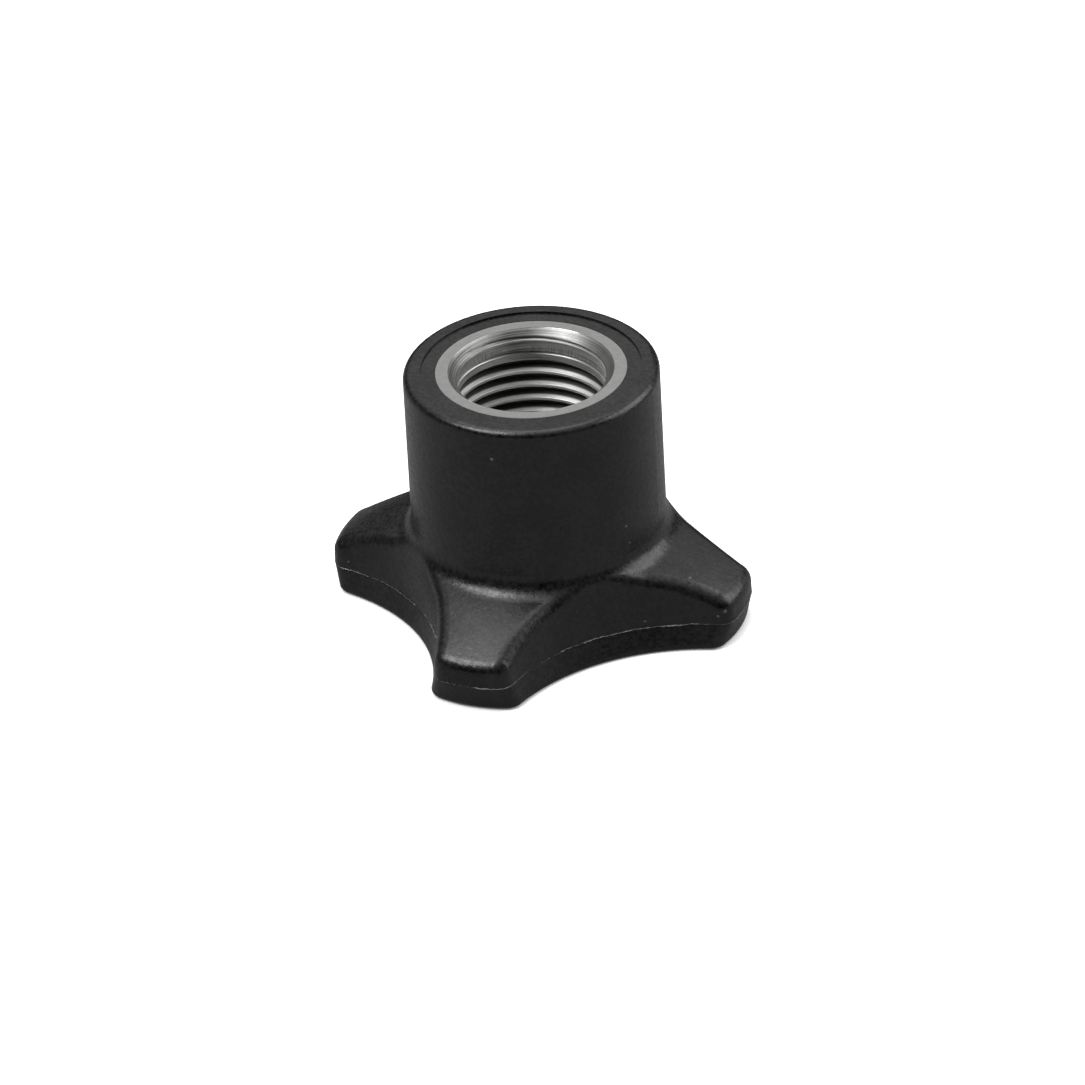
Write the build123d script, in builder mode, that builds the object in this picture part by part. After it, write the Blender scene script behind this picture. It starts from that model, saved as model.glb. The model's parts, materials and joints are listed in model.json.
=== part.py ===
from build123d import *
import os
from math import asin, degrees, radians, tan

os.makedirs("parts", exist_ok=True)

# Star knob for a threaded stud. Millimetres, +Z up along the thread axis.
# The knob stands on its crown, the palm side, at z = 0, and the hub mouth opens upwards.

# Thread in the insert: ISO metric fine, M16 x 1.5, cut later as a fine detail.
# The bore is left at the thread's minor diameter.
thread_major_diameter = 16.0
thread_pitch = 1.5
minor_drop_per_pitch = 1.0825  # ISO 68-1: minor = major - 1.0825 x pitch

# Steel insert
insert_diameter = 18.55
insert_setback = 0.04  # how far its face lies below the recess floor round it
insert_edge_chamfer = 0.5
thread_length = 14.0  # straight bore below the countersink
countersink_diameter = 16.1
countersink_angle = 90.0
drill_point_angle = 118.0
insert_floor = 1.8  # closed end, below the tip of the drill point
collar_length = 3.0  # plain round collar at the mouth
knurl_count = 32
knurl_depth = 0.4
knurl_width = 1.0
lock_groove_length = 3.0
lock_groove_depth = 0.6
upper_knurl_length = 5.0

# Hub
hub_height = 26.3
hub_diameter = 24.8  # at the mouth
hub_draft = 0.1
rim_radius = 0.75
face_recess_diameter = 21.4
face_recess_depth = 0.18

# Star
lobe_count = 4
star_diameter = 42.0  # tip to tip, at the parting line
scoop_clearance = 0.62  # least distance from the foot of the hub to a scoop, at the parting line
scoop_radius = 19.0
lobe_tip_radius = 12.6  # the slightly curved end of a lobe, in plan
lobe_corner_radius = 1.7
parting_height = 2.7  # where the two halves of the mould meet
wall_draft = 1.5
lobe_tip_height = 4.8  # top of a lobe at its tip
shoulder_height = 8.7  # height at which the lobe tops would reach the hub
shoulder_crown = 0.3  # rise of the lobe tops above a straight slope
hub_root_radius = 2.2
lobe_edge_radius = 1.6

# Crown
crown_flat_diameter = 25.0
crown_rise = 0.15  # how far the underside of a lobe tip lifts off the floor
crown_edge_radius = 0.5
crown_tip_inset = 0.6  # how far a lobe end draws in between the parting line and the floor
crown_scoop_fill = 0.85  # how much shallower the scoops get over the same height

trim_margin = 1.0  # how far the turned outline runs past the lobe tips

# Worked out from the sizes above
minor_radius = (thread_major_diameter - minor_drop_per_pitch * thread_pitch) / 2
insert_radius = insert_diameter / 2
insert_top = hub_height - face_recess_depth - insert_setback
countersink_depth = (countersink_diameter / 2 - minor_radius) / tan(radians(countersink_angle / 2))
bore_bottom = insert_top - countersink_depth - thread_length
drill_point_depth = minor_radius / tan(radians(drill_point_angle / 2))
insert_bottom = bore_bottom - drill_point_depth - insert_floor
knurl_length = insert_top - collar_length - insert_bottom
groove_top = insert_top - collar_length - upper_knurl_length
groove_bottom = groove_top - lock_groove_length
hub_radius = hub_diameter / 2
hub_base_radius = hub_radius + (hub_height - shoulder_height) * tan(radians(hub_draft))
star_radius = star_diameter / 2
waist_radius = hub_base_radius + scoop_clearance
half_pitch_angle = 180 / lobe_count
crown_flat_radius = crown_flat_diameter / 2
underside_run = star_radius - crown_flat_radius
underside_radius = (underside_run**2 + crown_rise**2) / (2 * crown_rise)
underside_angle = degrees(asin((underside_run + trim_margin) / underside_radius))
star_top = shoulder_height + hub_root_radius
parting_plane = Plane.XY.offset(parting_height)

with BuildPart() as insert_outside:
    with BuildSketch(Plane.XZ) as turned_outside:
        with BuildLine():
            Polyline(
                (0, insert_bottom),
                (insert_radius - insert_edge_chamfer, insert_bottom),
                (insert_radius, insert_bottom + insert_edge_chamfer),
                (insert_radius, groove_bottom),
                (insert_radius - lock_groove_depth, groove_bottom),
                (insert_radius - lock_groove_depth, groove_top),
                (insert_radius, groove_top),
                (insert_radius, insert_top),
                (0, insert_top),
                close=True,
            )
        make_face()
    revolve(axis=Axis.Z)
    # V grooves of the straight knurl, cut from the bottom end up to the collar
    with BuildSketch(Plane.XY.offset(insert_bottom)) as knurl_grooves:
        with PolarLocations(insert_radius, knurl_count):
            Polygon(
                (-knurl_depth, 0),
                (knurl_depth, -knurl_width),
                (knurl_depth, knurl_width),
                align=None,
            )
    extrude(amount=knurl_length, mode=Mode.SUBTRACT)

with BuildPart() as threaded_insert:
    add(insert_outside.part)
    with BuildSketch(Plane.XZ) as bore_profile:
        with BuildLine():
            Polyline(
                (0, insert_top),
                (countersink_diameter / 2, insert_top),
                (minor_radius, insert_top - countersink_depth),
                (minor_radius, bore_bottom),
                (0, bore_bottom - drill_point_depth),
                close=True,
            )
        make_face()
    revolve(axis=Axis.Z, mode=Mode.SUBTRACT)


def star_outline(plane, tip_reach, scoop_reach):
    # Plan of the star: lobes with slightly curved ends, scooped between
    with BuildSketch(plane) as outline:
        with PolarLocations(tip_reach - lobe_tip_radius, lobe_count):
            Circle(lobe_tip_radius)
        with PolarLocations(scoop_reach + scoop_radius, lobe_count, start_angle=half_pitch_angle):
            Circle(scoop_radius, mode=Mode.SUBTRACT)
        fillet(outline.vertices(), lobe_corner_radius)
    return outline.sketch


star_plan = star_outline(parting_plane, star_radius, waist_radius)
crown_plan = star_outline(Plane.XY, star_radius - crown_tip_inset, waist_radius + crown_scoop_fill)

# Above the parting line the walls draw in towards the hub side
with BuildPart() as upper_star:
    extrude(star_plan, amount=star_top - parting_height)
    draft(upper_star.faces().filter_by(GeomType.CYLINDER), parting_plane, wall_draft)

# Below it the lobe ends draw in and the scoops run out into a fuller crown
with BuildPart() as lower_star:
    loft([star_plan, crown_plan], ruled=True)

with BuildPart() as knob_body:
    add(upper_star.part)
    add(lower_star.part)
    with BuildSketch():
        Circle(hub_base_radius)
    extrude(amount=hub_height)

    # Turned outline: crown, lobe tops, hub root, hub and rim. The star is trimmed to it.
    with BuildSketch(Plane.XZ) as turned_outline:
        with BuildLine():
            crown = Line((0, 0), (crown_flat_radius, 0))
            underside = JernArc(crown @ 1, (1, 0), underside_radius, underside_angle)
            shoulder = SagittaArc(
                (star_radius, lobe_tip_height), (hub_base_radius, shoulder_height), -shoulder_crown
            )
            overhang = PolarLine(shoulder @ 0, trim_margin, direction=-(shoulder % 0))
            Line(underside @ 1, overhang @ 1)
            Polyline(shoulder @ 1, (hub_radius, hub_height), (0, hub_height), (0, 0))
        make_face()
        corners = turned_outline.vertices()
        fillet(corners.sort_by_distance((hub_base_radius, shoulder_height))[0], hub_root_radius)
        corners = turned_outline.vertices()
        fillet(corners.sort_by_distance((hub_radius, hub_height))[0], rim_radius)
    revolve(axis=Axis.Z, mode=Mode.INTERSECT)

    # Only the curves where the star walls meet the turned faces are free-form
    wall_edges = knob_body.edges().filter_by(GeomType.BSPLINE)
    fillet(wall_edges.filter_by_position(Axis.Z, parting_height, star_top), lobe_edge_radius)
    wall_edges = knob_body.edges().filter_by(GeomType.BSPLINE)
    fillet(wall_edges.filter_by_position(Axis.Z, 0, parting_height), crown_edge_radius)

    # Shallow recess round the insert, and the seat that the plastic forms on it
    with BuildSketch(Plane.XY.offset(hub_height)):
        Circle(face_recess_diameter / 2)
    extrude(amount=-face_recess_depth, mode=Mode.SUBTRACT)
    with BuildSketch(Plane.XY.offset(insert_top)):
        Circle(insert_radius)
    extrude(amount=hub_height - insert_top, mode=Mode.SUBTRACT)
    add(insert_outside.part, mode=Mode.SUBTRACT)

knob_body.part.label = "knob_body"
threaded_insert.part.label = "threaded_insert"
export_step(knob_body.part, "parts/knob_body.step")
export_step(threaded_insert.part, "parts/threaded_insert.step")
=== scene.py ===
import json
import math
import random

import bmesh
import bpy
import numpy as np
from mathutils import Matrix, Vector


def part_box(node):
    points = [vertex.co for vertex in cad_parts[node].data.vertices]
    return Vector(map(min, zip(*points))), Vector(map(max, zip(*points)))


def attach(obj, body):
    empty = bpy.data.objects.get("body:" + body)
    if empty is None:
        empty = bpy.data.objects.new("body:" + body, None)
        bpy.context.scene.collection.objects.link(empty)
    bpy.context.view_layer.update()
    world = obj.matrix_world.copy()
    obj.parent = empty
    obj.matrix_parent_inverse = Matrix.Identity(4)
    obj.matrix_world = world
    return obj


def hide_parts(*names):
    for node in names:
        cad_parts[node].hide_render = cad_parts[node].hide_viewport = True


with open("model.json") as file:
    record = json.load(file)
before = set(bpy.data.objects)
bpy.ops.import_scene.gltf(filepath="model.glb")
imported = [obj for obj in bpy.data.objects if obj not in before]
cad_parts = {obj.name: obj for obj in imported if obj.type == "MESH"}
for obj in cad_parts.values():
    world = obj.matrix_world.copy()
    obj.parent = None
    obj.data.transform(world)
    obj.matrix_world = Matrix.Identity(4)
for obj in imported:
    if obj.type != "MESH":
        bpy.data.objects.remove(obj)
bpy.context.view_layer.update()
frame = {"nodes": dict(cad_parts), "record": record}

mm = 0.001  # the sizes below are in millimetres
threadMount = next(m for m in frame["record"]["mounts"] if m["kind"] == "threaded_hole")
threadMiddle = threadMount["pos_m"][2]
boreLength = threadMount["dims"]["length_mm"] * mm
boreRadius = threadMount["dims"]["r_mm"] * mm
insertLow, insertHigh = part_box("threaded_insert")
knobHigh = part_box("knob_body")[1]
print("frame loaded: bore radius", boreRadius, "insert top", insertHigh.z)


# node trees
def newMaterial(name):
    mat = bpy.data.materials.new(name)
    mat.use_nodes = True
    mat.node_tree.nodes.clear()
    return mat, mat.node_tree


def addNode(tree, kind, inputs=None, **settings):
    node = tree.nodes.new(kind)
    for key, value in settings.items():
        setattr(node, key, value)
    for key, value in (inputs or {}).items():
        if isinstance(value, bpy.types.NodeSocket):
            tree.links.new(value, node.inputs[key])
        else:
            node.inputs[key].default_value = value
    return node


def maths(tree, operation, a, b=None):
    inputs = {0: a} if b is None else {0: a, 1: b}
    return addNode(tree, "ShaderNodeMath", inputs, operation=operation).outputs[0]


def remap(tree, value, low, high, toLow, toHigh):
    sizes = {"From Min": low, "From Max": high, "To Min": toLow, "To Max": toHigh}
    return addNode(tree, "ShaderNodeMapRange", {"Value": value, **sizes}).outputs[0]


def noise(tree, vector, scale, detail=2.0, roughness=0.5):
    inputs = {"Vector": vector, "Scale": scale, "Detail": detail, "Roughness": roughness}
    return addNode(tree, "ShaderNodeTexNoise", inputs).outputs[0]


def lineNoise(tree, value, scale, detail=2.0):
    inputs = {"W": value, "Scale": scale, "Detail": detail}
    return addNode(tree, "ShaderNodeTexNoise", inputs, noise_dimensions="1D").outputs[0]


def blendColours(tree, factor, first, second):
    mix = addNode(tree, "ShaderNodeMix", data_type="RGBA")
    for socket, value in ((0, factor), (6, first), (7, second)):
        if isinstance(value, bpy.types.NodeSocket):
            tree.links.new(value, mix.inputs[socket])
        else:
            mix.inputs[socket].default_value = value
    return mix.outputs[2]


def finishWith(tree, shader):
    addNode(tree, "ShaderNodeOutputMaterial", {"Surface": shader.outputs[0]})


# moulded plastic with a fine grain
plasticLook = {
    "dark": (0.0004, 0.0004, 0.0005, 1),
    "light": (0.0098, 0.0098, 0.0100, 1),
    "speck": (0.16, 0.16, 0.15, 1),
    "mottleScale": 260,
    "mottleShare": 0.4,  # the rest of the mottle follows the grain
    "mottleRange": (0.44, 0.58),
    "speckScale": 330,
    "speckSize": 0.035,
    "speckFree": 0.72,  # share of the places that hold no speck
    "grainScale": 2100,
    "grainHeight": 0.036 * mm,
    "grainStrength": 0.85,
    "roughScale": 2400,
    "roughRange": (0.35, 0.65),
    "roughLow": 0.22,
    "roughHigh": 0.38,
    "ior": 1.50,
    "pipHeight": 0.05 * mm,
    "pipCore": 0.3,  # the part of a pip's radius that has its full height
    # x, y, z and radius in mm of the small pips that the mould left
    "pips": [(0.40, -12.39, 23.22, 0.24), (11.10, -5.55, 13.45, 0.20), (16.48, -3.03, 7.06, 0.16),
             (20.12, -3.55, 4.12, 0.24), (19.51, -3.89, 3.65, 0.20), (12.89, -6.35, 3.45, 0.18)],
}


def makePlastic(name, look):
    mat, tree = newMaterial(name)
    place = addNode(tree, "ShaderNodeTexCoord").outputs["Object"]
    share = look["mottleShare"]
    coarse = noise(tree, place, look["mottleScale"], 2.0)
    fine = noise(tree, place, look["grainScale"], 2.0, 0.6)
    mottle = maths(tree, "ADD", maths(tree, "MULTIPLY", coarse, share),
                   maths(tree, "MULTIPLY", fine, 1 - share))
    colour = blendColours(
        tree, remap(tree, mottle, *look["mottleRange"], 0, 1), look["dark"], look["light"])
    # sparse pale specks, where a filler grain shows
    cells = addNode(tree, "ShaderNodeTexVoronoi", {"Vector": place, "Scale": look["speckScale"]})
    small = maths(tree, "LESS_THAN", cells.outputs["Distance"], look["speckSize"])
    chance = addNode(tree, "ShaderNodeSeparateColor", {"Color": cells.outputs["Color"]}).outputs[0]
    picked = maths(tree, "GREATER_THAN", chance, look["speckFree"])
    pips = 0.0
    for x, y, z, size in look["pips"]:
        away = addNode(tree, "ShaderNodeVectorMath", {
            0: place, 1: (x * mm, y * mm, z * mm)}, operation="DISTANCE").outputs["Value"]
        pip = remap(tree, away, size * mm, look["pipCore"] * size * mm, 0, 1)
        pips = maths(tree, "MAXIMUM", pips, pip)
    specks = maths(tree, "MAXIMUM", pips, maths(tree, "MULTIPLY", small, picked))
    colour = blendColours(tree, specks, colour, look["speck"])
    patches = noise(tree, place, look["roughScale"], 3.0, 0.6)
    rough = remap(tree, patches, *look["roughRange"], look["roughLow"], look["roughHigh"])
    grain = noise(tree, place, look["grainScale"], 3.0, 0.6)
    bump = addNode(tree, "ShaderNodeBump", {
        "Strength": look["grainStrength"], "Distance": look["grainHeight"], "Height": grain})
    bump = addNode(tree, "ShaderNodeBump", {
        "Distance": look["pipHeight"], "Height": pips, "Normal": bump.outputs[0]})
    shader = addNode(tree, "ShaderNodeBsdfPrincipled", {
        "Base Color": colour, "Roughness": rough, "IOR": look["ior"], "Normal": bump.outputs[0]})
    finishWith(tree, shader)
    return mat


# turned and tapped steel
steelLook = {
    "dark": (0.335, 0.335, 0.328, 1),
    "light": (0.370, 0.370, 0.362, 1),
    "bright": (0.78, 0.78, 0.76, 1),  # the crests, burnished by the tap
    "grooveShadeAndMarks": (0.060, 0.058, 0.056, 1),  # painted shade deep in the grooves, and the dark of the lathe lines and chatter
    "grooveShadeStart": 0.24 * mm,  # depth in a groove where the painted shade begins, and where it covers all
    "grooveShadeFull": 0.42 * mm,
    "boreReach": 1.1 * mm,  # the bore's surface, grooves included, lies within this of its radius
    "faceEdge": 0.03 * mm,  # and at least this far below the flat ring
    "cloudScale": 1500,
    "cloudRange": (0.35, 0.65),
    "roughScale": 2500,
    "roughRange": (0.3, 0.7),
    "roughLow": 0.16,
    "roughHigh": 0.24,
    "boreRough": 0.22,  # added to the roughness on the countersink and below it
    "metal": 0.80,  # a film of oil scatters the rest
    "latheScale": 4200,
    "latheSlant": 0.7,  # how closely the lines follow the radius, against the height
    "latheRange": (0.36, 0.64),
    "latheHeight": 0.016 * mm,
    "latheStrength": 0.5,
    "latheStreak": 0.95,  # how dark the lathe lines get, and what lies between them
    "latheRest": 0.42,
    "wanderScale": 160,  # the lines come and go over this pattern
    "wanderRange": (0.35, 0.65),
    "wanderLow": 0.35,
    "fadeStart": 3.2 * mm,  # depth where the lines begin to fade, and where they are faint
    "fadeEnd": 4.2 * mm,
    "faint": 0.30,
    "chatterHeight": 0.030 * mm,
    "chatterStrength": 0.6,
    "chatterShade": 0.60,
    "chatterLow": 0.10 * mm,  # height above the second turn of the groove
    "chatterHigh": 0.75 * mm,
    "chatterScale": 38,
    "chatterRange": (0.40, 0.60),
}


def makeSteel(name, look, shape):
    mat, tree = newMaterial(name)
    place = addNode(tree, "ShaderNodeTexCoord").outputs["Object"]
    xyz = addNode(tree, "ShaderNodeSeparateXYZ", {"Vector": place}).outputs
    radius = maths(tree, "SQRT", maths(
        tree, "ADD", maths(tree, "MULTIPLY", xyz[0], xyz[0]), maths(tree, "MULTIPLY", xyz[1], xyz[1])))
    angle = maths(tree, "ARCTAN2", xyz[1], xyz[0])
    # the bore without its thread, and how far this place lies in a groove
    top = insertHigh.z
    cone = maths(tree, "ADD", xyz[2], shape["mouthRadius"] - top)
    depth = maths(tree, "SUBTRACT", radius, maths(tree, "MAXIMUM", cone, boreRadius))
    underFace = maths(tree, "LESS_THAN", xyz[2], top - look["faceEdge"])
    overFloor = maths(tree, "GREATER_THAN", xyz[2], threadMiddle - boreLength / 2)
    inBore = maths(tree, "MULTIPLY", maths(tree, "LESS_THAN", radius, boreRadius + look["boreReach"]),
                   maths(tree, "MULTIPLY", underFace, overFloor))
    # painted shade, darker the deeper a place lies in a groove
    grooveShadeAndMarks = maths(tree, "MULTIPLY", remap(
        tree, depth, look["grooveShadeStart"], look["grooveShadeFull"], 0, 1), inBore)
    below = maths(tree, "MULTIPLY", inBore, maths(
        tree, "LESS_THAN", xyz[2], top - (shape["mouthRadius"] - boreRadius)))
    # lathe lines run round the axis, and fade further down
    lines = maths(tree, "ADD", maths(tree, "MULTIPLY", radius, look["latheSlant"]), xyz[2])
    turned = lineNoise(tree, lines, look["latheScale"], 2.0)
    wander = remap(tree, noise(tree, place, look["wanderScale"], 2.0), *look["wanderRange"],
                   look["wanderLow"], 1.0)
    streak = remap(tree, turned, *look["latheRange"], look["latheRest"], look["latheStreak"])
    streak = maths(tree, "MULTIPLY", streak, maths(tree, "MULTIPLY", inBore, wander))
    streak = maths(tree, "MULTIPLY", streak, remap(
        tree, xyz[2], top - look["fadeStart"], top - look["fadeEnd"], 1.0, look["faint"]))
    # chatter of the tap, above the second turn of the groove
    turns = maths(tree, "ADD", maths(tree, "MULTIPLY", angle, -0.5 / math.pi), shape["startAngle"] / 360)
    height = maths(tree, "ADD", maths(tree, "MULTIPLY", turns, shape["pitch"]), maths(
        tree, "SUBTRACT", xyz[2], shape["startHeight"] - shape["pitch"]))
    inBand = maths(tree, "MULTIPLY", maths(tree, "GREATER_THAN", height, look["chatterLow"]),
                   maths(tree, "LESS_THAN", height, look["chatterHigh"]))
    teeth = remap(
        tree, lineNoise(tree, angle, look["chatterScale"], 1.0), *look["chatterRange"], 0, 1)
    chatter = maths(tree, "MULTIPLY", teeth, maths(tree, "MULTIPLY", inBand, below))
    # colour: a faint cloud, bright crests, then lines, chatter and the painted shade of the grooves over
    # them
    cloud = remap(tree, noise(tree, place, look["cloudScale"], 4.0, 0.6), *look["cloudRange"], 0, 1)
    colour = blendColours(tree, cloud, look["dark"], look["light"])
    colour = blendColours(tree, below, colour, look["bright"])
    shade = maths(tree, "MAXIMUM", streak, maths(tree, "MULTIPLY", chatter, look["chatterShade"]))
    colour = blendColours(tree, maths(tree, "MAXIMUM", grooveShadeAndMarks, shade), colour, look["grooveShadeAndMarks"])
    patches = noise(tree, place, look["roughScale"], 3.0)
    rough = remap(tree, patches, *look["roughRange"], look["roughLow"], look["roughHigh"])
    rough = maths(tree, "ADD", rough, maths(tree, "MULTIPLY", inBore, look["boreRough"]))
    lathe = addNode(tree, "ShaderNodeBump", {
        "Strength": look["latheStrength"], "Distance": look["latheHeight"], "Height": turned})
    marks = addNode(tree, "ShaderNodeBump", {
        "Strength": look["chatterStrength"], "Distance": look["chatterHeight"], "Height": chatter,
        "Normal": lathe.outputs[0]})
    shader = addNode(tree, "ShaderNodeBsdfPrincipled", {
        "Base Color": colour, "Roughness": rough, "Metallic": look["metal"], "Normal": marks.outputs[0]})
    finishWith(tree, shader)
    return mat


blackPlastic = makePlastic("blackPlastic", plasticLook)

knobBody = frame["nodes"]["knob_body"]
knobBody.data.materials.clear()
knobBody.data.materials.append(blackPlastic)
print("plastic body dressed")

# the insert, with its real thread
insertShape = {
    "columns": 256,
    "pitch": 1.5 * mm,
    "threadDepth": 0.812 * mm,
    "rootHalf": 0.094 * mm,  # half the flat at the bottom of a groove
    "edgeHalf": 0.5625 * mm,  # half a groove's width at the crests
    "crestRound": 0.13 * mm,  # the tap leaves the corners of the crests rounded
    "slitRound": 0.35,  # the share of that rounding along the slits
    "landRows": 14,  # rows of faces on the land between two turns
    "mouthRadius": 8.05 * mm,
    "mouthBlend": 0.06 * mm,  # how softly the countersink runs into the bore
    # the first turns were pressed nearly shut when the plastic was moulded
    "slitHalf": 0.13 * mm,
    "slitRoot": 0.02 * mm,
    "slitDepth": 0.30 * mm,
    "slitTurns": 1.3,
    "openTurns": 0.85,  # the stretch over which the groove opens out to its full form
    "beginTurns": 0.12,  # and the one over which it first cuts in
    "startAngle": 178.5,  # where the groove begins, on the countersink
    "startHeight": insertHigh.z - 0.52 * mm,
    "runOut": 12.6 * mm,  # depth at which the tap stopped
    "outerEdge": 0.03 * mm,
    "collar": 3.0 * mm,
    "knurls": 32,
    "knurlDepth": 0.4 * mm,
    "knurlHalf": 0.5 * mm,
    "upperKnurl": 5.0 * mm,
    "lockGroove": 3.0 * mm,
    "lockDepth": 0.6 * mm,
    "bottomChamfer": 0.5 * mm,
    "drillAngle": 118,
    "sharpAngle": 24,
    "weld": 0.0004 * mm,  # corners closer than this become one
}


def makeInsert(shape):
    columns = shape["columns"]
    pitch = shape["pitch"]
    top, bottom = insertHigh.z, insertLow.z
    outer = insertHigh.x
    boreBottom = threadMiddle - boreLength / 2
    rowsPerTurn = 6 + shape["landRows"]
    cells = math.ceil((top - boreBottom) / pitch) + 3

    def ease(value):
        value = min(max(value, 0.0), 1.0)
        return value * value * (3 - 2 * value)

    def groove(turns, depthBelowTop):
        # half width at the crests, half width at the root, and depth, after so many turns
        opened = ease((turns - shape["slitTurns"]) / shape["openTurns"])
        begun = ease(turns / shape["beginTurns"])
        ended = 1 - ease((depthBelowTop - shape["runOut"]) / pitch)
        edge = shape["slitHalf"] + (shape["edgeHalf"] - shape["slitHalf"]) * opened
        root = shape["slitRoot"] + (shape["rootHalf"] - shape["slitRoot"]) * opened
        depth = shape["slitDepth"] + (shape["threadDepth"] - shape["slitDepth"]) * opened
        grown = shape["slitRound"] + (1 - shape["slitRound"]) * opened
        rounding = shape["crestRound"] * grown * begun * ended
        return edge, root, max(depth * begun * ended, rounding), rounding

    def roundedBy(reach, rounding):
        # how far a rounded corner falls back, at a distance from its edge
        if reach >= rounding:
            return 0.0
        return rounding - math.sqrt(rounding**2 - (rounding - reach)**2)

    def borePlain(z):
        cone = shape["mouthRadius"] - (top - z) - boreRadius
        return boreRadius + 0.5 * (cone + math.hypot(cone, shape["mouthBlend"]))

    verts, faces = [], []

    def addRing(radii, z):
        start = len(verts)
        for i in range(columns):
            a = 2 * math.pi * i / columns
            r = radii[i] if isinstance(radii, list) else radii
            verts.append((r * math.cos(a), r * math.sin(a), z))
        return list(range(start, start + columns))

    def joinRings(upper, lower):
        for i in range(columns):
            k = (i + 1) % columns
            faces.append((upper[i], upper[k], lower[k], lower[i]))

    # helical rows from below the bore's bottom to above the mouth, clamped to both
    grid = []
    for i in range(columns):
        angle = 360 * i / columns
        column = []
        for cell in range(cells, -2, -1):
            # turns from the start of the groove down to this place
            turns = cell + (shape["startAngle"] - angle) / 360
            middle = shape["startHeight"] - turns * pitch
            below = top - middle
            edge, root, depth, rounding = groove(turns, below)
            nextEdge, _, _, nextRounding = groove(turns - 1, below - pitch)
            land = pitch - edge - nextEdge
            halfway = (depth + rounding) / 2
            offsets = [(-edge, rounding), (-(edge + root) / 2, halfway), (-root, depth), (root, depth),
                       ((edge + root) / 2, halfway), (edge, rounding)]
            for n in range(shape["landRows"]):
                reach = land * (n + 1) / (shape["landRows"] + 1)
                drop = roundedBy(reach, rounding) + roundedBy(land - reach, nextRounding)
                offsets.append((edge + reach, drop))
            for offset, drop in offsets:
                z = min(max(middle + offset, boreBottom), top)
                r = borePlain(z) + drop
                if z >= top:
                    r = shape["mouthRadius"]
                if z <= boreBottom:
                    r = boreRadius
                column.append((r * math.cos(math.radians(angle)), r * math.sin(math.radians(angle)), z))
        grid.append(column)
    rows = len(grid[0])
    for column in grid:
        verts.extend(column)
    for i in range(columns):
        for j in range(rows - 1):
            a, b = i * rows + j, i * rows + j + 1
            if i < columns - 1:
                c, d = a + rows, b + rows
            else:
                # the last column meets the first one turn further on
                if j + 1 + rowsPerTurn >= rows:
                    continue
                c, d = j + rowsPerTurn, j + 1 + rowsPerTurn
            faces.append((a, b, d, c))
    # the rings at the mouth and at the bore's bottom
    mouth = [i * rows + rows - 1 for i in range(columns)]
    floor = [i * rows for i in range(columns)]

    # flat ring, its outer edge, collar, knurl, lock groove, knurl and bottom
    knurl = []
    perKnurl = columns // shape["knurls"]
    for i in range(columns):
        steps = min(i % perKnurl, perKnurl - i % perKnurl)
        arc = steps * 2 * math.pi * outer / columns
        knurl.append(outer - max(0.0, shape["knurlDepth"] * (1 - arc / shape["knurlHalf"])))
    collarLow = top - shape["collar"]
    lockTop = collarLow - shape["upperKnurl"]
    lockLow = lockTop - shape["lockGroove"]
    lockRadius = outer - shape["lockDepth"]
    foot = outer - shape["bottomChamfer"]
    outline = [
        (outer - shape["outerEdge"], top), (outer, top - shape["outerEdge"]), (outer, collarLow),
        (knurl, collarLow), (knurl, lockTop), (lockRadius, lockTop), (lockRadius, lockLow),
        (knurl, lockLow), (knurl, bottom + shape["bottomChamfer"]), (foot, bottom),
    ]
    previous = mouth
    for radii, z in outline:
        ring = addRing(radii, z)
        joinRings(previous, ring)
        previous = ring
    verts.append((0, 0, bottom))
    for i in range(columns):
        faces.append((previous[i], previous[(i + 1) % columns], len(verts) - 1))
    tipDrop = boreRadius / math.tan(math.radians(shape["drillAngle"] / 2))
    verts.append((0, 0, boreBottom - tipDrop))
    for i in range(columns):
        faces.append((floor[(i + 1) % columns], floor[i], len(verts) - 1))

    mesh = bpy.data.meshes.new("steelInsert")
    mesh.from_pydata(verts, [], faces)
    bm = bmesh.new()
    bm.from_mesh(mesh)
    bmesh.ops.remove_doubles(bm, verts=bm.verts, dist=shape["weld"])
    bmesh.ops.dissolve_degenerate(bm, edges=bm.edges, dist=shape["weld"] / 2)
    bmesh.ops.recalc_face_normals(bm, faces=bm.faces)
    openEdges = sum(1 for e in bm.edges if len(e.link_faces) != 2)
    bm.to_mesh(mesh)
    bm.free()
    mesh.shade_smooth()
    mesh.set_sharp_from_angle(angle=math.radians(shape["sharpAngle"]))
    piece = bpy.data.objects.new("steelInsert", mesh)
    bpy.context.scene.collection.objects.link(piece)
    print("steel insert:", len(mesh.polygons), "faces, open edges", openEdges)
    return piece


turnedSteel = makeSteel("turnedSteel", steelLook, insertShape)
steelInsert = makeInsert(insertShape)
steelInsert.data.materials.append(turnedSteel)
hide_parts("threaded_insert")
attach(steelInsert, "root")

# flash along the line where the two halves of the mould met
flashShape = {
    "height": 2.7 * mm,
    "cutLift": 0.004 * mm,  # the body's outline is taken this far above the line
    "inside": 0.6,  # what the cut meets within this share of the knob's reach isn't outline
    "step": 0.12 * mm,
    "base": 0.085 * mm,  # half its height where it is tallest
    "thinBase": 0.22,  # the share of that height, and of its reach, that is left in the gaps
    "thinProud": 0.10,
    "proud": 0.16 * mm,
    "shoulder": 0.35,  # the share of its reach at which it is half as high as at the wall
    "bury": 0.03 * mm,
    "gaps": 0.25,  # share of the line, roughly, where it was trimmed back
    "gapEdge": 0.12,
    "drift": 0.12 * mm,
    # how many random values go round the loop
    "gapKnots": 46,
    "reachKnots": 120,
    "ragKnots": 520,
    "tallKnots": 150,
    "driftKnots": 70,
    "fineDriftKnots": 420,
    "seed": 7,
}


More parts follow.
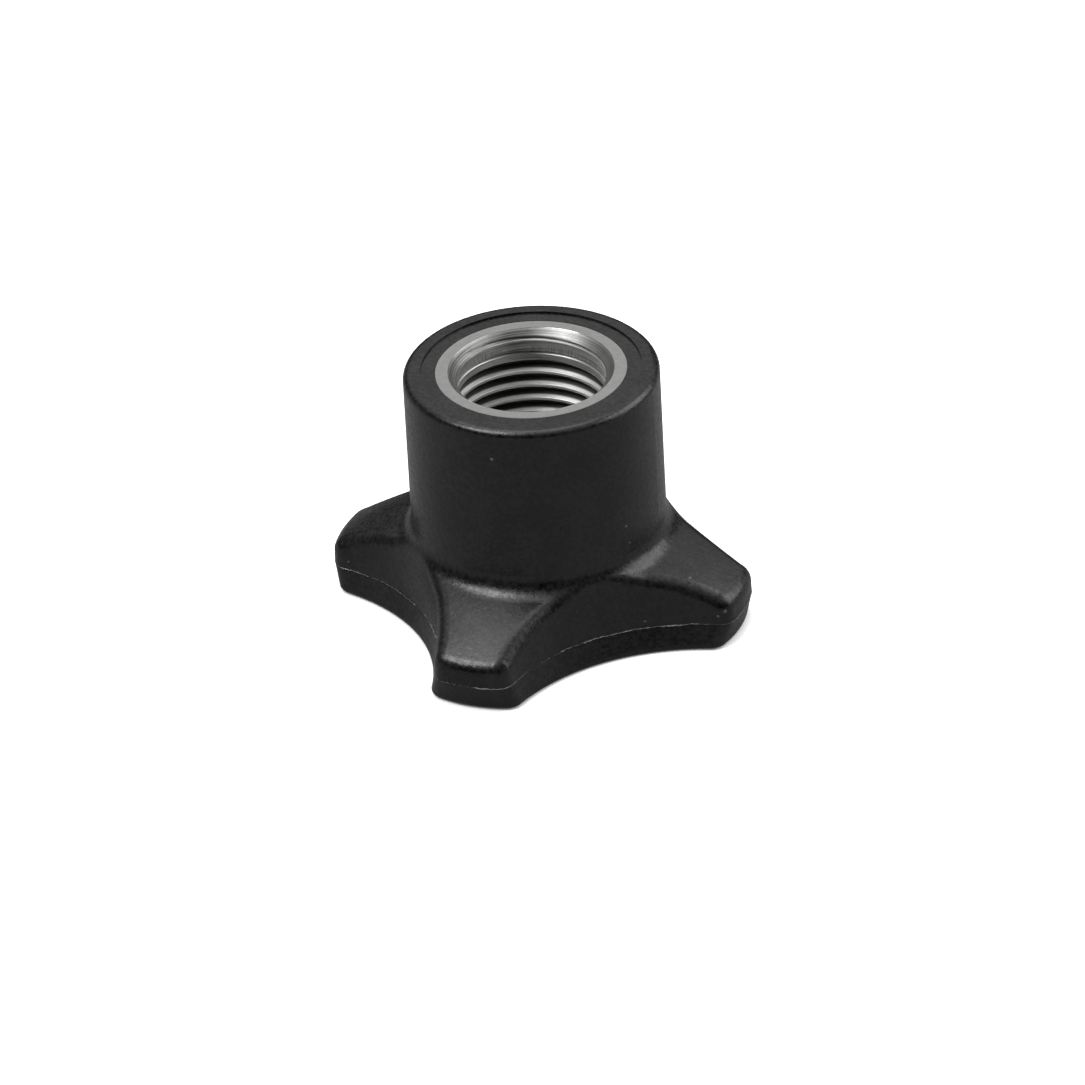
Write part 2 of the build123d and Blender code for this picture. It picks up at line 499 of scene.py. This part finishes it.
def partingLoop(shape):
    # the outline of the body just above the parting line, in order
    bm = bmesh.new()
    bm.from_mesh(knobBody.data)
    cut = bmesh.ops.bisect_plane(
        bm, geom=bm.verts[:] + bm.edges[:] + bm.faces[:],
        plane_co=(0, 0, shape["height"] + shape["cutLift"]), plane_no=(0, 0, 1),
        clear_inner=True, clear_outer=True)
    points = np.array([v.co[:] for v in cut["geom_cut"] if isinstance(v, bmesh.types.BMVert)])
    bm.free()
    reach = np.hypot(points[:, 0], points[:, 1])
    points = points[reach > shape["inside"] * knobHigh.x]
    points = points[np.argsort(np.arctan2(points[:, 1], points[:, 0]))]
    closed = np.vstack([points, points[:1]])[:, :2]
    along = np.concatenate([[0], np.cumsum(np.hypot(*np.diff(closed, axis=0).T))])
    count = round(along[-1] / shape["step"])
    places = np.linspace(0, along[-1], count, endpoint=False)
    return np.stack([np.interp(places, along, closed[:, n]) for n in (0, 1)], axis=1)


def makeFlash(shape):
    loop = partingLoop(shape)
    count = len(loop)
    ahead, behind = np.roll(loop, -3, axis=0), np.roll(loop, 3, axis=0)
    tangent = (ahead - behind) / np.linalg.norm(ahead - behind, axis=1)[:, None]
    outward = np.stack([tangent[:, 1], -tangent[:, 0]], axis=1)
    rng = random.Random(shape["seed"])

    def wander(scale):
        # smooth random values round the loop
        knots = [rng.random() for n in range(scale)]
        spread = np.arange(count) * scale / count
        low = spread.astype(int)
        share = spread - low
        share = share * share * (3 - 2 * share)
        values = np.array(knots)
        return values[low % scale] * (1 - share) + values[(low + 1) % scale] * share

    # thin in places and gone in others, with a ragged edge
    present = np.clip((wander(shape["gapKnots"]) - shape["gaps"]) / shape["gapEdge"], 0, 1)
    proud = shape["proud"] * (shape["thinProud"] + present * wander(shape["reachKnots"])
                              * (0.35 + wander(shape["ragKnots"])))
    tall = shape["base"] * (shape["thinBase"] + (1 - shape["thinBase"]) * present
                            * (0.3 + 0.7 * wander(shape["tallKnots"])))
    drift = shape["drift"] * (wander(shape["driftKnots"]) - 0.5
                              + 0.6 * (wander(shape["fineDriftKnots"]) - 0.5))
    verts, faces = [], []
    for i in range(count):
        side = shape["shoulder"] * proud[i]
        for reach, rise in ((-shape["bury"], -tall[i]), (side, -0.5 * tall[i]), (proud[i], 0),
                            (side, 0.5 * tall[i]), (-shape["bury"], tall[i])):
            x, y = loop[i] + outward[i] * reach
            verts.append((x, y, shape["height"] + rise + drift[i]))
    for i in range(count):
        k = (i + 1) % count
        for n in range(5):
            m = (n + 1) % 5
            faces.append((5 * i + n, 5 * i + m, 5 * k + m, 5 * k + n))
    mesh = bpy.data.meshes.new("partingFlash")
    mesh.from_pydata(verts, [], faces)
    bm = bmesh.new()
    bm.from_mesh(mesh)
    bmesh.ops.recalc_face_normals(bm, faces=bm.faces)
    bm.to_mesh(mesh)
    bm.free()
    mesh.shade_smooth()
    piece = bpy.data.objects.new("partingFlash", mesh)
    bpy.context.scene.collection.objects.link(piece)
    print("parting flash:", count, "points")
    return piece


# the flash is the body's plastic painted far paler, a painted highlight where its thin ridge catches the
# light
flashHighlightLook = dict(plasticLook, dark=(0.05, 0.05, 0.05, 1), light=(0.24, 0.24, 0.235, 1))
flashHighlightPlastic = makePlastic("flashHighlightPlastic", flashHighlightLook)
partingFlash = makeFlash(flashShape)
partingFlash.data.materials.append(flashHighlightPlastic)
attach(partingFlash, "root")

# pale floor
floorLook = {
    "size": 4.0,
    "colour": (0.82, 0.82, 0.82, 1),
    "dimColour": (0.07, 0.07, 0.07, 1),  # what light that bounces off it sees
    "dimLift": 0.08,
    "mirrorShare": 0.11,  # how much of the white a reflection sees
    "lift": 0.70,
    "contactShadowSpread": 1.2 * mm,  # how far the painted contact shadow spreads
}


def makeFloor(look):
    mesh = bpy.data.meshes.new("studioFloor")
    half = look["size"] / 2
    mesh.from_pydata([(-half, -half, 0), (half, -half, 0), (half, half, 0), (-half, half, 0)],
                     [], [(0, 1, 2, 3)])
    piece = bpy.data.objects.new("studioFloor", mesh)
    bpy.context.scene.collection.objects.link(piece)
    mat, tree = newMaterial("paleFloor")
    # seen directly, the floor is lifted to white except close to what stands on it, where ambient
    # occlusion dims the glow into a painted contact shadow, and a reflection sees a share of that
    rays = addNode(tree, "ShaderNodeLightPath").outputs
    mirrored = maths(tree, "MULTIPLY", rays["Is Glossy Ray"], look["mirrorShare"])
    direct = maths(tree, "MAXIMUM", rays["Is Camera Ray"], rays["Is Transmission Ray"])
    white = maths(tree, "MAXIMUM", direct, mirrored)
    shade = blendColours(tree, white, look["dimColour"], look["colour"])
    diffuse = addNode(tree, "ShaderNodeBsdfDiffuse", {"Color": shade})
    contactShadow = addNode(tree, "ShaderNodeAmbientOcclusion", {"Distance": look["contactShadowSpread"]}, samples=8)
    lift = maths(tree, "MULTIPLY", contactShadow.outputs["AO"], look["lift"])
    glow = addNode(tree, "ShaderNodeEmission", {
        "Strength": remap(tree, white, 0, 1, look["dimLift"], lift)})
    finishWith(tree, addNode(tree, "ShaderNodeAddShader", {0: diffuse.outputs[0], 1: glow.outputs[0]}))
    mesh.materials.append(mat)


makeFloor(floorLook)
print("floor laid")

# light: a room that is dark at the horizon, and three softboxes
studio = {
    "worldLow": 0.02,  # the horizon in front and behind, and what the sides have more
    "worldSides": 0.13,
    "sidesEnd": 0.9,  # how far towards the front and the back the sides reach
    "worldHigh": 0.60,
    "lowRise": (0.62, 0.28),  # sine of the elevation where the dark horizon ends, in front and behind
    "highRise": (0.86, 0.52),  # the same where full brightness begins
    "worldFarSide": 0.22,  # how much brighter the room is behind the object, and darker in front
    "farAzimuth": 186.0,  # degrees round from -Y towards +X
    "farBlend": 0.7,  # how gradual the change from front to back is
}
softboxes = {
    "topLight": {"azimuth": 201.5, "elevation": 80.0, "distance": 0.6, "size": 0.44, "power": 1.10},
    "keyLight": {"azimuth": -40.0, "elevation": 57.0, "distance": 0.6, "size": 0.32, "power": 2.50},
    "sideLight": {"azimuth": 120.0, "elevation": 29.0, "distance": 0.6, "size": 0.50, "power": 2.10},
}


def directionOf(azimuth, elevation=0.0):
    a, e = math.radians(azimuth), math.radians(elevation)
    return Vector((math.sin(a) * math.cos(e), -math.cos(a) * math.cos(e), math.sin(e)))


def makeWorld(look):
    world = bpy.data.worlds.new("studioWorld")
    bpy.context.scene.world = world
    world.use_nodes = True
    tree = world.node_tree
    tree.nodes.clear()
    way = addNode(tree, "ShaderNodeTexCoord").outputs["Generated"]
    rise = addNode(tree, "ShaderNodeSeparateXYZ", {"Vector": way}).outputs[2]
    far = addNode(tree, "ShaderNodeVectorMath", {
        0: way, 1: tuple(directionOf(look["farAzimuth"]))}, operation="DOT_PRODUCT").outputs["Value"]
    blend = look["farBlend"]
    low, high = (remap(tree, far, -blend, blend, *look[k]) for k in ("lowRise", "highRise"))
    horizon = remap(tree, maths(tree, "ABSOLUTE", far), 0, look["sidesEnd"],
                    look["worldLow"] + look["worldSides"], look["worldLow"])
    level = addNode(tree, "ShaderNodeMapRange", {
        "Value": rise, "From Min": low, "From Max": high,
        "To Min": horizon, "To Max": look["worldHigh"]}, interpolation_type="SMOOTHSTEP").outputs[0]
    tilt = look["worldFarSide"] / look["worldHigh"]
    level = maths(tree, "MULTIPLY", level, remap(tree, far, -1, 1, 1 - tilt, 1 + tilt))
    room = addNode(tree, "ShaderNodeBackground", {"Color": (1, 1, 1, 1), "Strength": level})
    addNode(tree, "ShaderNodeOutputWorld", {"Surface": room.outputs[0]})


def makeSoftbox(name, look):
    lamp = bpy.data.lights.new(name, "AREA")
    lamp.shape = "SQUARE"
    lamp.size = look["size"]
    lamp.energy = look["power"]
    box = bpy.data.objects.new(name, lamp)
    bpy.context.scene.collection.objects.link(box)
    box.location = directionOf(look["azimuth"], look["elevation"]) * look["distance"]
    box.rotation_euler = box.location.to_track_quat("Z", "Y").to_euler()


makeWorld(studio)
for name, look in softboxes.items():
    makeSoftbox(name, look)
print("light set")

# camera, looking at the middle of the hub's face
view = {
    "azimuth": 21.54,
    "elevation": 31.62,
    "roll": -3.12,
    "distance": 769.23 * mm,
    "lens": 265.438,
    "sensor": 36,
    "aimX": -1.112 * mm,  # where the aim lies from the picture's centre, to the right and down
    "aimY": -16.856 * mm,
    "aimHeight": knobHigh.z,
}


def makeCamera(look):
    e, roll, turn = (math.radians(look[k]) for k in ("elevation", "roll", "azimuth"))
    c, s = math.cos(roll), math.sin(roll)
    right = Vector((c, s * math.sin(e), s * math.cos(e)))
    down = Vector((s, -c * math.sin(e), -c * math.cos(e)))
    ahead = Vector((0, math.cos(e), -math.sin(e)))
    place = -(right * look["aimX"] + down * look["aimY"] + ahead * look["distance"])
    spin = Matrix.Rotation(turn, 3, "Z")
    right, down, ahead, place = (spin @ v for v in (right, down, ahead, place))
    place.z += look["aimHeight"]
    data = bpy.data.cameras.new("studioCamera")
    data.lens = look["lens"]
    data.sensor_width = look["sensor"]
    data.clip_start = 0.01
    data.clip_end = 10
    camera = bpy.data.objects.new("studioCamera", data)
    bpy.context.scene.collection.objects.link(camera)
    pose = Matrix((right, -down, -ahead)).transposed().to_4x4()
    pose.translation = place
    camera.matrix_world = pose
    bpy.context.scene.camera = camera


makeCamera(view)
bpy.context.scene.view_settings.view_transform = "Standard"

bpy.context.view_layer.update()
print("scene ready")
